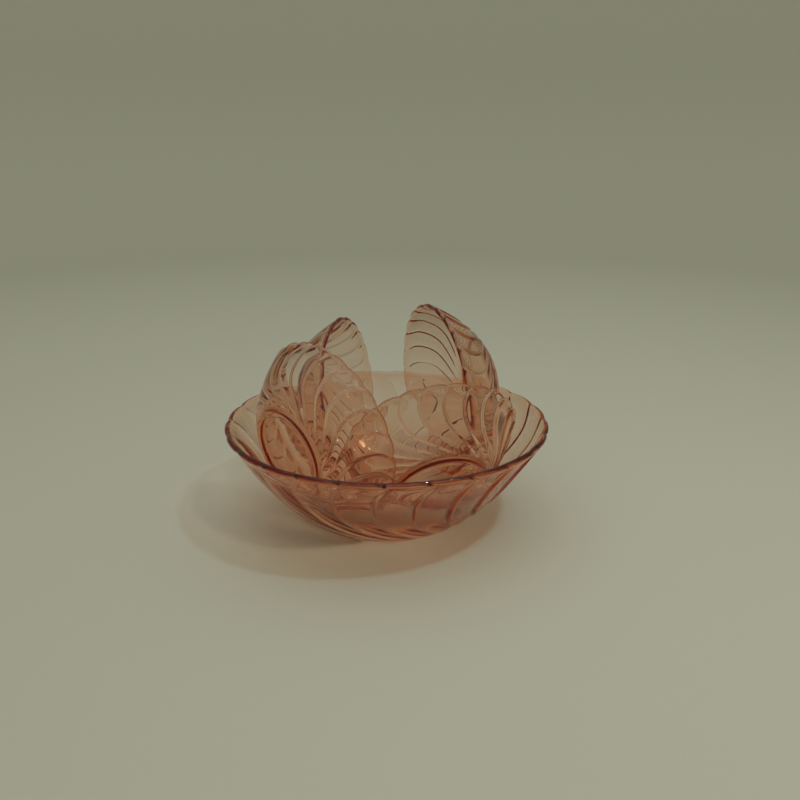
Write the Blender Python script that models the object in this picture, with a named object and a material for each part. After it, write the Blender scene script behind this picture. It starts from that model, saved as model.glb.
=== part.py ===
"""Pressed glass dessert set: a serving bowl with four matching dessert bowls stood in it.

Every bowl is one piece of glass with a ground foot ring, a flaring wall of curved petals
and a gently scalloped rim. The origin is on the table under the middle of the serving bowl,
+Z is up and -Y is the front. All sizes are in metres.
"""
import math
from dataclasses import dataclass

import bmesh
import bpy

PETALS = 24                         # petals round every bowl
PETAL_WAIST = 0.7                   # height share at which a petal's edge lies furthest back
LOWER_SWEEP = math.radians(120.0)   # how fast the edge sweeps forward towards the foot
UPPER_SWEEP = math.radians(65.0)    # how fast it sweeps forward towards the rim
FIRST_PETAL = math.radians(10.2)    # turns the petals about the bowl's axis
CREST_SHARE = 0.25                  # share of a petal's width taken by its steep edge
LOBE_FULLNESS = 2.5                 # exponent of the rim's outline over a petal, 2 for a parabola
RELIEF_FOOT = 0.15                  # share of the wall's height over which the relief grows
RELIEF_RIM = 0.15                   # share of the wall's height over which it fades to the rim
RIM_HOLD = 5                        # exponent that keeps the scallops close to the rim
FLARE = 0.62                        # exponent of the wall's outline, 1.0 for a straight cone
FLARE_START = 0.03                  # lowest wall ring, as a share of the wall's height
RING_SPREAD = 1.5                   # exponent of the wall rings' spacing, 1 for even spacing
RIM_BLEND = 0.22                    # top share of the wall that thickens into the rim bead
CAP_STEPS = 4                       # steps round the bead

GLASS_PINK = (0.62, 0.27, 0.22, 1.0)
GLASS_ROUGHNESS = 0.05
GLASS_INDEX = 1.52


@dataclass(frozen=True)
class BowlShape:
    """The sizes that drive one bowl, in metres."""
    rim_radius: float
    foot_radius: float
    height: float
    wall: float
    bead: float
    foot_height: float
    foot_width: float
    relief: float
    scallop: float
    rim_wave: float
    steps_per_petal: int
    wall_rings: int


@dataclass(frozen=True)
class BowlPlace:
    """Where a leaning bowl stands: its foot's centre and the way its mouth faces."""
    foot_centre: tuple
    mouth_azimuth: float
    mouth_elevation: float


SERVING = BowlShape(rim_radius=0.113, foot_radius=0.0455, height=0.074, wall=0.0030, bead=0.0040,
                    foot_height=0.0022, foot_width=0.0050, relief=0.0012, scallop=0.0010,
                    rim_wave=0.0006, steps_per_petal=4, wall_rings=8)
DESSERT = BowlShape(rim_radius=0.0636, foot_radius=0.0305, height=0.0395, wall=0.0026, bead=0.0032,
                    foot_height=0.0020, foot_width=0.0042, relief=0.0008, scallop=0.0007,
                    rim_wave=0.0004, steps_per_petal=2, wall_rings=6)

DESSERT_PLACES = {
    "dessert_bowl_left_back": BowlPlace((-0.0664, 0.0422, 0.0699), -14.0, 6.1),
    "dessert_bowl_right_back": BowlPlace((0.0705, 0.0512, 0.0846), 200.4, -2.5),
    "dessert_bowl_left_front": BowlPlace((-0.0653, -0.0507, 0.0678), 44.4, 10.8),
    "dessert_bowl_right_front": BowlPlace((0.0376, -0.0389, 0.0395), 105.1, 35.5),
}


def clear_scene():
    for old in list(bpy.data.objects):
        bpy.data.objects.remove(old, do_unlink=True)


def smooth(share):
    """Ease from 0 to 1."""
    share = min(max(share, 0.0), 1.0)
    return share * share * (3.0 - 2.0 * share)


def petal_sweep(share):
    """Angle by which a petal's edge is swept forward at a share of the wall's height."""
    away = PETAL_WAIST - share
    if away > 0.0:
        return LOWER_SWEEP * away ** 3
    return UPPER_SWEEP * away ** 2


def petal_height(across):
    """Relief over one petal, 0 in the groove and 1 on the crest of its steep edge."""
    if across < CREST_SHARE:
        return across / CREST_SHARE
    return (1.0 - across) / (1.0 - CREST_SHARE)


def rim_notch(across):
    """The rim's outline over one petal, 1 at the notches between petals and 0 in the middle."""
    return abs(2.0 * across - 1.0) ** LOBE_FULLNESS


def wall_direction(shape, share):
    """Unit vector (radial, up) along the outside of the wall."""
    radial = FLARE * (shape.rim_radius - shape.foot_radius) * share ** (FLARE - 1.0)
    up = shape.height - shape.foot_height
    length = math.hypot(radial, up)
    return radial / length, up / length


def wall_thickness(shape, share):
    return shape.wall + (shape.bead - shape.wall) * smooth((share - 1.0 + RIM_BLEND) / RIM_BLEND)


def outer_wall(shape, share):
    """Outside of the wall, its top held down so that the rounded bead ends at the full size."""
    along_radial, along_up = wall_direction(shape, 1.0)
    half = shape.bead / 2.0
    top = shape.height - half * (1.0 + along_radial)
    reach = shape.rim_radius - half * (1.0 - along_up)
    radius = shape.foot_radius + (reach - shape.foot_radius) * share ** FLARE
    return radius, shape.foot_height + (top - shape.foot_height) * share


def inner_wall(shape, share):
    radius, height = outer_wall(shape, share)
    along_radial, along_up = wall_direction(shape, share)
    depth = wall_thickness(shape, share)
    return radius - depth * along_up, height + depth * along_radial


def wall_shares(shape):
    """Height shares of the wall's rings, closer together where the wall curves most."""
    steps = shape.wall_rings - 1
    climb = [(step / steps) ** RING_SPREAD for step in range(steps + 1)]
    return [FLARE_START + (1.0 - FLARE_START) * share for share in climb]


def bowl_rings(shape):
    """Rings from the underside's centre round to the floor: (radius, height, share, relief)."""
    foot_inside = shape.foot_radius - shape.foot_width
    floor = shape.foot_height + shape.wall
    rings = [(foot_inside - shape.foot_height, shape.foot_height, 0.0, 0.0),
             (foot_inside, 0.0, 0.0, 0.0),
             (shape.foot_radius, 0.0, 0.0, 0.0)]
    shares = wall_shares(shape)
    for share in shares:
        relief = smooth(share / RELIEF_FOOT) * smooth((1.0 - share) / RELIEF_RIM)
        rings.append((*outer_wall(shape, share), share, relief))
    outside = outer_wall(shape, 1.0)
    inside = inner_wall(shape, 1.0)
    middle = ((outside[0] + inside[0]) / 2.0, (outside[1] + inside[1]) / 2.0)
    along = wall_direction(shape, 1.0)
    for step in range(1, CAP_STEPS):
        turn = math.pi * step / CAP_STEPS
        out = math.cos(turn) * shape.bead / 2.0
        up = math.sin(turn) * shape.bead / 2.0
        rings.append((middle[0] + out * along[1] + up * along[0],
                      middle[1] - out * along[0] + up * along[1], 1.0, 0.0))
    for share in reversed(shares):
        rings.append((*inner_wall(shape, share), share, 0.0))
    rings.append((foot_inside, floor, 0.0, 0.0))
    return rings


def ring_points(shape, ring):
    """Points of one ring, following the petals' edges, the relief and the rim's scallops."""
    radius, height, share, relief = ring
    towards_rim = share ** RIM_HOLD
    points = []
    for petal in range(PETALS):
        for step in range(shape.steps_per_petal):
            across = step / shape.steps_per_petal
            angle = FIRST_PETAL + (petal + across) * math.tau / PETALS + petal_sweep(share)
            notch = rim_notch(across) * towards_rim
            dent = shape.relief * relief * (1.0 - petal_height(across))
            out = radius - shape.scallop * notch - dent
            up = height - shape.rim_wave * notch
            points.append((out * math.cos(angle), out * math.sin(angle), up))
    return points


def bowl_mesh(name, shape):
    """One closed body: rings of points joined by quads, closed by a fan at each centre."""
    bm = bmesh.new()
    loops = [[bm.verts.new(point) for point in ring_points(shape, ring)] for ring in bowl_rings(shape)]
    under = bm.verts.new((0.0, 0.0, shape.foot_height))
    floor = bm.verts.new((0.0, 0.0, shape.foot_height + shape.wall))
    count = len(loops[0])
    for here in range(count):
        after = (here + 1) % count
        bm.faces.new((under, loops[0][after], loops[0][here]))
        bm.faces.new((floor, loops[-1][here], loops[-1][after]))
        for low, high in zip(loops, loops[1:]):
            bm.faces.new((low[here], low[after], high[after], high[here]))
    bmesh.ops.recalc_face_normals(bm, faces=bm.faces)
    mesh = bpy.data.meshes.new(name)
    bm.to_mesh(mesh)
    bm.free()
    mesh.shade_smooth()
    return mesh


def glass_material(name):
    material = bpy.data.materials.new(name)
    material.use_nodes = True
    shader = material.node_tree.nodes["Principled BSDF"]
    shader.inputs["Base Color"].default_value = GLASS_PINK
    shader.inputs["Roughness"].default_value = GLASS_ROUGHNESS
    shader.inputs["Metallic"].default_value = 0.0
    shader.inputs["IOR"].default_value = GLASS_INDEX
    shader.inputs["Transmission Weight"].default_value = 1.0
    return material


def add_bowl(name, shape):
    bowl = bpy.data.objects.new(name, bowl_mesh(name, shape))
    bowl.data.materials.append(glass_material(name + "_glass"))
    bpy.context.scene.collection.objects.link(bowl)
    return bowl


def stand_bowl(bowl, place):
    """Turn the bowl's mouth from +Z to its direction and put its foot in place."""
    bowl.location = place.foot_centre
    bowl.rotation_euler = (0.0, math.radians(90.0 - place.mouth_elevation),
                           math.radians(place.mouth_azimuth))


def build():
    clear_scene()
    add_bowl("serving_bowl", SERVING)
    for name, place in DESSERT_PLACES.items():
        stand_bowl(add_bowl(name, DESSERT), place)


build()
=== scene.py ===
"""Looks for the pressed glass bowl set: finely modelled petals in clear rose-pink glass.

Each bowl is one closed glass surface that stands where its CAD solid stands. Sizes are in metres.
"""
import math

import bpy
import numpy as np
from mathutils import Matrix, Vector


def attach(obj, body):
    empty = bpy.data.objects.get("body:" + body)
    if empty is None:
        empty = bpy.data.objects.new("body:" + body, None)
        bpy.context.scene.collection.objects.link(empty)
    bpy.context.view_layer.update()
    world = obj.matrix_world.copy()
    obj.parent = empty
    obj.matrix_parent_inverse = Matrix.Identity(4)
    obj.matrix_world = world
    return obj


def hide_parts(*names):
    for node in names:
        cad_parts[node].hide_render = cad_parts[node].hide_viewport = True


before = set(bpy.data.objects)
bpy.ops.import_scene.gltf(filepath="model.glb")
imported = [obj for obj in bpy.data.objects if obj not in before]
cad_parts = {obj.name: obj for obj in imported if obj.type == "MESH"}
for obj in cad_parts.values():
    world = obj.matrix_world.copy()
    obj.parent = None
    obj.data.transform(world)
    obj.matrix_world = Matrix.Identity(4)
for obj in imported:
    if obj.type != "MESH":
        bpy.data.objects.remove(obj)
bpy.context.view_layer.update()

# The petals and the wall's outline, the same on every bowl
PETALS = 24
PETAL_WAIST = 0.7                   # height share at which a petal's edge lies furthest back
LOWER_SWEEP = math.radians(120.0)   # how fast the edge sweeps forward towards the foot
UPPER_SWEEP = math.radians(65.0)    # how fast it sweeps forward towards the rim
FIRST_PETAL = math.radians(10.2)    # turns the petals about the bowl's axis
PETAL_FALL = 1.3                    # exponent of the fall from the crest to the next groove
LOBE_FULLNESS = 2.5                 # exponent of the rim's outline over a petal
RELIEF_FOOT = 0.12                  # share of the wall's height over which the relief grows
RELIEF_RIM = 0.08                   # share of the wall's height over which it fades to the rim
RIM_HOLD = 5                        # exponent that keeps the scallops close to the rim
FLARE = 0.62                        # exponent of the wall's outline, 1.0 for a straight cone
FLARE_START = 0.012                 # lowest wall ring, as a share of the wall's height
RING_SPREAD = 1.3                   # exponent of the wall rings' spacing
RIM_BLEND = 0.22                    # top share of the wall that thickens into the rim bead
STEEP_STEPS = (0.0, 0.25, 0.5, 0.75, 1.0, 1.4)   # columns on a petal's steep edge and beside it
CAP_STEPS = 10                      # steps round the bead
FOOT_STEPS = 8                      # steps across the foot ring, the underside and the floor
FOOT_SWELL = 0.6                    # how far the foot ring's rounding reaches up its height
FOOT_SQUARENESS = 0.5               # exponent of the foot ring's section, 1.0 for a half circle
FINE_SCALE = 0.999                  # keeps the fine lobes inside the CAD solid's facets

# steep_share is the share of a petal's width taken by its steep edge
SERVING = dict(rim_radius=0.113, foot_radius=0.0455, height=0.074, wall=0.0030, bead=0.0040,
               foot_height=0.0022, foot_width=0.0050, relief=0.0017, scallop=0.0010,
               rim_wave=0.0006, steep_share=0.12, petal_columns=14, wall_rings=60)
DESSERT = dict(rim_radius=0.0636, foot_radius=0.0305, height=0.0395, wall=0.0026, bead=0.0032,
               foot_height=0.0020, foot_width=0.0042, relief=0.0012, scallop=0.0012,
               rim_wave=0.0006, steep_share=0.18, petal_columns=14, wall_rings=44)
DESSERT_BODIES = ("left_back", "right_back", "left_front", "right_front")

# The glass: its colour comes from the depth of glass that light crosses
GLASS_INDEX = 1.5
DEPTH_COLOUR = (0.907, 0.44, 0.067, 1.0)
DEPTH_DENSITY = 150.0
TINT_LOW = (0.985, 0.965, 0.955, 1.0)
TINT_HIGH = (1.0, 0.99, 0.985, 1.0)
TINT_RANGE = (0.3, 0.7)
WEAR_RANGE = (0.45, 0.8)
WEAR_ROUGHNESS = 0.05
RIPPLE_STRENGTH = 0.15
RIPPLE_DEPTH = 0.0006
SERVING_SEED = 1.0
DESSERT_SEED = 3.0
SERVING_CLEARNESS = 0.82            # share of lamp light that crosses one surface
DESSERT_CLEARNESS = 0.56

# The stage, the lamps and the camera
STAGE_REACH = 1.5
STAGE_COVE = 0.35
STAGE_WALL = 0.9
STAGE_TURNS = 96
STAGE_COVE_STEPS = 8
STAGE_PAINT = (0.62, 0.62, 0.50)
STAGE_ROUGHNESS = 0.7
KEY_PLACE = (0.42, -0.32, 0.92)
KEY_TARGET = (0.0, 0.0, 0.03)
KEY_SIZE = 0.06
KEY_POWER = 1.6
KEY_COLOUR = (1.0, 0.98, 0.93)
TOP_PLACE = (0.0, 0.1, 1.3)
TOP_TARGET = (0.0, 0.0, 0.0)
TOP_SIZE = 1.4
TOP_POWER = 3.4
TOP_COLOUR = (1.0, 0.99, 0.95)
ROOM_COLOUR = (0.9, 0.92, 0.86, 1.0)
ROOM_STRENGTH = 0.36
CAMERA_PLACE = (0.0092, -0.5716, 0.2857)
CAMERA_DOWN = 19.17                 # degrees below the horizon
CAMERA_SENSOR = 36.0
CAMERA_LENS = 38.84
CAMERA_NEAR = 0.01


def smooth(share):
    """Ease from 0 to 1."""
    share = np.clip(share, 0.0, 1.0)
    return share * share * (3.0 - 2.0 * share)


def petal_sweep(share):
    """Angle by which a petal's edge is swept forward at a share of the wall's height."""
    away = PETAL_WAIST - share
    if away > 0.0:
        return LOWER_SWEEP * away ** 3
    return UPPER_SWEEP * away ** 2


def petal_height(across, steep_share):
    """Relief over one petal: a steep step up, then a full rounded fall to the next groove."""
    rise = smooth(across / steep_share)
    fall = np.clip((across - steep_share) / (1.0 - steep_share), 0.0, 1.0)
    return np.where(across < steep_share, rise, 1.0 - fall ** PETAL_FALL)


def rim_notch(across):
    """The rim's outline over one petal, 1 at the notches between petals and 0 in the middle."""
    return np.abs(2.0 * across - 1.0) ** LOBE_FULLNESS


def petal_columns(shape):
    """Places across one petal, closer together on its steep edge."""
    steep = [shape["steep_share"] * share for share in STEEP_STEPS]
    gentle = shape["petal_columns"] - len(steep)
    room = 1.0 - steep[-1]
    spread = [steep[-1] + room * (step + 1) / (gentle + 1) for step in range(gentle)]
    return np.array(steep + spread)


def wall_direction(shape, share):
    """Unit vector (radial, up) along the outside of the wall."""
    radial = FLARE * (shape["rim_radius"] - shape["foot_radius"]) * share ** (FLARE - 1.0)
    up = shape["height"] - shape["foot_height"]
    length = math.hypot(radial, up)
    return radial / length, up / length


def wall_thickness(shape, share):
    ease = float(smooth((share - 1.0 + RIM_BLEND) / RIM_BLEND))
    return shape["wall"] + (shape["bead"] - shape["wall"]) * ease


def outer_wall(shape, share):
    """Outside of the wall, its top held down so that the rounded bead ends at the full size."""
    along_radial, along_up = wall_direction(shape, 1.0)
    half = shape["bead"] / 2.0
    top = shape["height"] - half * (1.0 + along_radial)
    reach = shape["rim_radius"] - half * (1.0 - along_up)
    radius = shape["foot_radius"] + (reach - shape["foot_radius"]) * share ** FLARE
    return radius, shape["foot_height"] + (top - shape["foot_height"]) * share


def inner_wall(shape, share):
    radius, height = outer_wall(shape, share)
    along_radial, along_up = wall_direction(shape, share)
    depth = wall_thickness(shape, share)
    return radius - depth * along_up, height + depth * along_radial


def foot_rings(shape):
    """The underside and the rounded foot ring."""
    foot_inside = shape["foot_radius"] - shape["foot_width"]
    foot_mid = shape["foot_radius"] - shape["foot_width"] / 2.0
    foot_h = shape["foot_height"]
    rings = []
    for step in range(1, FOOT_STEPS + 1):
        rings.append(((foot_inside - foot_h) * step / FOOT_STEPS, foot_h, 0.0, 0.0))
    for step in range(FOOT_STEPS + 1):
        turn = math.pi * step / FOOT_STEPS
        flat = abs(math.cos(turn)) ** FOOT_SQUARENESS * math.copysign(1.0, math.cos(turn))
        rings.append((foot_mid - flat * shape["foot_width"] / 2.0,
                      foot_h * FOOT_SWELL * (1.0 - math.sin(turn) ** FOOT_SQUARENESS), 0.0, 0.0))
    return rings


def bead_rings(shape):
    """The rounded top of the rim, from the outside over to the inside."""
    outside = outer_wall(shape, 1.0)
    inside = inner_wall(shape, 1.0)
    middle = ((outside[0] + inside[0]) / 2.0, (outside[1] + inside[1]) / 2.0)
    along = wall_direction(shape, 1.0)
    rings = []
    for step in range(1, CAP_STEPS):
        turn = math.pi * step / CAP_STEPS
        out = math.cos(turn) * shape["bead"] / 2.0
        up = math.sin(turn) * shape["bead"] / 2.0
        rings.append((middle[0] + out * along[1] + up * along[0],
                      middle[1] - out * along[0] + up * along[1], 1.0, 0.0))
    return rings


def bowl_rings(shape):
    """Rings (radius, height, share, relief) from the underside round the rim to the floor."""
    steps = shape["wall_rings"] - 1
    shares = [FLARE_START + (1.0 - FLARE_START) * (step / steps) ** RING_SPREAD
              for step in range(steps + 1)]
    rings = foot_rings(shape)
    for share in shares:
        relief = float(smooth(share / RELIEF_FOOT) * smooth((1.0 - share) / RELIEF_RIM))
        rings.append((*outer_wall(shape, share), share, relief))
    rings += bead_rings(shape)
    for share in reversed(shares):
        rings.append((*inner_wall(shape, share), share, 0.0))
    foot_inside = shape["foot_radius"] - shape["foot_width"]
    floor = shape["foot_height"] + shape["wall"]
    for step in range(FOOT_STEPS, 0, -1):
        rings.append((foot_inside * step / FOOT_STEPS, floor, 0.0, 0.0))
    return rings


def ring_points(shape, ring):
    """Points of one ring, following the petals' edges, the relief and the rim's scallops."""
    radius, height, share, relief = ring
    across = np.tile(petal_columns(shape), PETALS)
    petal = np.repeat(np.arange(PETALS), shape["petal_columns"])
    angle = FIRST_PETAL + (petal + across) * math.tau / PETALS + petal_sweep(share)
    notch = rim_notch(across) * share ** RIM_HOLD
    dent = shape["relief"] * relief * (1.0 - petal_height(across, shape["steep_share"]))
    out = radius - shape["scallop"] * notch - dent
    up = height - shape["rim_wave"] * notch
    return np.stack([out * np.cos(angle), out * np.sin(angle), up], axis=1)


def bowl_mesh(name, shape):
    """A closed mesh of quads between the rings, with a fan at each centre."""
    rings = bowl_rings(shape)
    count = PETALS * shape["petal_columns"]
    points = np.concatenate([ring_points(shape, ring) for ring in rings])
    under = len(points)
    floor = under + 1
    centres = [(0.0, 0.0, shape["foot_height"]), (0.0, 0.0, shape["foot_height"] + shape["wall"])]
    points = np.concatenate([points, np.array(centres)]) * FINE_SCALE
    here = np.arange(count)
    after = (here + 1) % count
    faces = []
    for low in range(len(rings) - 1):
        base, top = low * count, (low + 1) * count
        faces += np.stack([base + here, base + after, top + after, top + here], axis=1).tolist()
    last = (len(rings) - 1) * count
    faces += [(under, int(b), int(a)) for a, b in zip(here, after)]
    faces += [(floor, int(last + a), int(last + b)) for a, b in zip(here, after)]
    mesh = bpy.data.meshes.new(name)
    mesh.from_pydata(points.tolist(), [], faces)
    mesh.validate()
    mesh.shade_smooth()
    return mesh


def noise_node(nodes, links, place, scale, detail):
    noise = nodes.new("ShaderNodeTexNoise")
    noise.inputs["Scale"].default_value = scale
    noise.inputs["Detail"].default_value = detail
    links.new(place.outputs["Vector"], noise.inputs["Vector"])
    return noise.outputs["Fac"]


def glass_material(name, seed, clearness):
    """Rose-pink pressed glass: clear surface, colour from absorption, fine ripple and wear."""
    material = bpy.data.materials.new(name)
    material.use_nodes = True
    nodes, links = material.node_tree.nodes, material.node_tree.links
    shader = nodes["Principled BSDF"]
    output = nodes["Material Output"]
    shader.inputs["Transmission Weight"].default_value = 1.0
    shader.inputs["IOR"].default_value = GLASS_INDEX
    coords = nodes.new("ShaderNodeTexCoord")
    place = nodes.new("ShaderNodeMapping")
    place.inputs["Location"].default_value = (seed, seed * 0.7, seed * 1.3)
    links.new(coords.outputs["Object"], place.inputs["Vector"])

    # Faint unevenness of the tint
    tint = nodes.new("ShaderNodeValToRGB")
    tint.color_ramp.elements[0].position = TINT_RANGE[0]
    tint.color_ramp.elements[0].color = TINT_LOW
    tint.color_ramp.elements[1].position = TINT_RANGE[1]
    tint.color_ramp.elements[1].color = TINT_HIGH
    links.new(noise_node(nodes, links, place, 28.0, 3.0), tint.inputs["Fac"])
    links.new(tint.outputs["Color"], shader.inputs["Base Color"])

    # Patches dulled by washing
    wear = nodes.new("ShaderNodeMapRange")
    wear.inputs["From Min"].default_value = WEAR_RANGE[0]
    wear.inputs["From Max"].default_value = WEAR_RANGE[1]
    wear.inputs["To Min"].default_value = 0.0
    wear.inputs["To Max"].default_value = WEAR_ROUGHNESS
    links.new(noise_node(nodes, links, place, 160.0, 5.0), wear.inputs["Value"])
    links.new(wear.outputs["Result"], shader.inputs["Roughness"])

    # The slight ripple that a mould leaves
    bump = nodes.new("ShaderNodeBump")
    bump.inputs["Strength"].default_value = RIPPLE_STRENGTH
    bump.inputs["Distance"].default_value = RIPPLE_DEPTH
    links.new(noise_node(nodes, links, place, 60.0, 1.0), bump.inputs["Height"])
    links.new(bump.outputs["Normal"], shader.inputs["Normal"])

    absorb = nodes.new("ShaderNodeVolumeAbsorption")
    absorb.inputs["Color"].default_value = DEPTH_COLOUR
    absorb.inputs["Density"].default_value = DEPTH_DENSITY
    links.new(absorb.outputs["Volume"], output.inputs["Volume"])

    # Lamps shine through the glass instead of leaving a black shadow
    rays = nodes.new("ShaderNodeLightPath")
    clear = nodes.new("ShaderNodeBsdfTransparent")
    clear.inputs["Color"].default_value = (clearness, clearness, clearness, 1.0)
    surface = nodes.new("ShaderNodeMixShader")
    links.new(rays.outputs["Is Shadow Ray"], surface.inputs[0])
    links.new(shader.outputs["BSDF"], surface.inputs[1])
    links.new(clear.outputs["BSDF"], surface.inputs[2])
    links.new(surface.outputs["Shader"], output.inputs["Surface"])
    return material


def bowl_place(node):
    """Where a CAD bowl stands: its foot's centre and the turn of its mouth from +Z.

    The bowl's axis is the one direction in which its points spread differently from the other two.
    """
    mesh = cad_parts[node].data
    points = np.array([vertex.co for vertex in mesh.vertices])
    middle = points.mean(axis=0)
    spread, directions = np.linalg.eigh(np.cov((points - middle).T))
    odd = 0 if spread[1] - spread[0] > spread[2] - spread[1] else 2
    axis = directions[:, odd]
    along = (points - middle) @ axis
    radius = np.linalg.norm(points - middle - np.outer(along, axis), axis=1)
    if along[radius.argmax()] < 0.0:
        axis = -axis
        along = -along
    foot = middle + axis * along.min()
    turn = Matrix.Rotation(math.atan2(axis[1], axis[0]), 4, "Z")
    tilt = Matrix.Rotation(math.acos(axis[2]), 4, "Y")
    return Matrix.Translation(Vector(foot)) @ turn @ tilt


def bowl_piece(node, shape, body, seed, clearness):
    mesh = bowl_mesh(node + "_glass", shape)
    if body != "serving":
        mesh.transform(bowl_place(node))
    mesh.materials.append(glass_material(node + "_glass", seed, clearness))
    piece = bpy.data.objects.new(node + "_glass", mesh)
    bpy.context.scene.collection.objects.link(piece)
    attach(piece, body)
    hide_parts(node)


def plain_material(name, colour, roughness):
    material = bpy.data.materials.new(name)
    material.use_nodes = True
    shader = material.node_tree.nodes["Principled BSDF"]
    shader.inputs["Base Color"].default_value = (*colour, 1.0)
    shader.inputs["Roughness"].default_value = roughness
    return material


def stage_profile():
    """The stage's outline (radius, height): floor, cove and wall."""
    inside = STAGE_REACH - STAGE_COVE
    profile = [(inside, 0.0)]
    for step in range(1, STAGE_COVE_STEPS + 1):
        turn = math.pi / 2.0 * step / STAGE_COVE_STEPS
        profile.append((inside + STAGE_COVE * math.sin(turn),
                        STAGE_COVE - STAGE_COVE * math.cos(turn)))
    profile.append((STAGE_REACH, STAGE_WALL))
    return profile


def add_stage():
    """A round pale floor that curves up into a plain pale wall on every side."""
    profile = stage_profile()
    points = [(0.0, 0.0, 0.0)]
    for radius, height in profile:
        for step in range(STAGE_TURNS):
            angle = math.tau * step / STAGE_TURNS
            points.append((radius * math.cos(angle), radius * math.sin(angle), height))
    faces = []
    for here in range(STAGE_TURNS):
        after = (here + 1) % STAGE_TURNS
        faces.append((0, 1 + here, 1 + after))
        for ring in range(len(profile) - 1):
            base, top = 1 + ring * STAGE_TURNS, 1 + (ring + 1) * STAGE_TURNS
            faces.append((base + here, top + here, top + after, base + after))
    mesh = bpy.data.meshes.new("stage_floor")
    mesh.from_pydata(points, [], faces)
    mesh.shade_smooth()
    mesh.materials.append(plain_material("stage_paint", STAGE_PAINT, STAGE_ROUGHNESS))
    floor = bpy.data.objects.new("stage_floor", mesh)
    bpy.context.scene.collection.objects.link(floor)


def add_light(name, place, target, size, power, colour):
    """A square area lamp that faces its target."""
    light = bpy.data.lights.new(name, "AREA")
    light.shape = "RECTANGLE"
    light.size = size
    light.size_y = size
    light.energy = power
    light.color = colour
    lamp = bpy.data.objects.new(name, light)
    lamp.location = place
    aim = Vector(target) - Vector(place)
    lamp.rotation_euler = aim.to_track_quat("-Z", "Y").to_euler()
    bpy.context.scene.collection.objects.link(lamp)


def add_camera():
    """The viewing angle: 19 degrees down from 61 cm."""
    data = bpy.data.cameras.new("camera")
    data.sensor_width = CAMERA_SENSOR
    data.lens = CAMERA_LENS
    data.clip_start = CAMERA_NEAR
    camera = bpy.data.objects.new("camera", data)
    camera.location = CAMERA_PLACE
    camera.rotation_euler = (math.radians(90.0 - CAMERA_DOWN), 0.0, 0.0)
    bpy.context.scene.collection.objects.link(camera)
    bpy.context.scene.camera = camera


def add_world():
    world = bpy.data.worlds.new("world")
    world.use_nodes = True
    background = world.node_tree.nodes["Background"]
    background.inputs["Color"].default_value = ROOM_COLOUR
    background.inputs["Strength"].default_value = ROOM_STRENGTH
    bpy.context.scene.world = world


def let_light_travel():
    """Enough bounces for light that is caught between the surfaces of a rim or a foot ring."""
    scene = bpy.context.scene
    scene.cycles.max_bounces = 48
    scene.cycles.transmission_bounces = 32
    scene.cycles.transparent_max_bounces = 32
    scene.cycles.glossy_bounces = 40
    scene.view_settings.view_transform = "Standard"


def main():
    bowl_piece("serving_bowl", SERVING, "serving", SERVING_SEED, SERVING_CLEARNESS)
    for number, body in enumerate(DESSERT_BODIES):
        bowl_piece("dessert_bowl_" + body, DESSERT, body, DESSERT_SEED + number,
                   DESSERT_CLEARNESS)
    add_stage()
    add_light("key_light", KEY_PLACE, KEY_TARGET, KEY_SIZE, KEY_POWER, KEY_COLOUR)
    add_light("top_light", TOP_PLACE, TOP_TARGET, TOP_SIZE, TOP_POWER, TOP_COLOUR)
    add_world()
    add_camera()
    let_light_travel()


main()
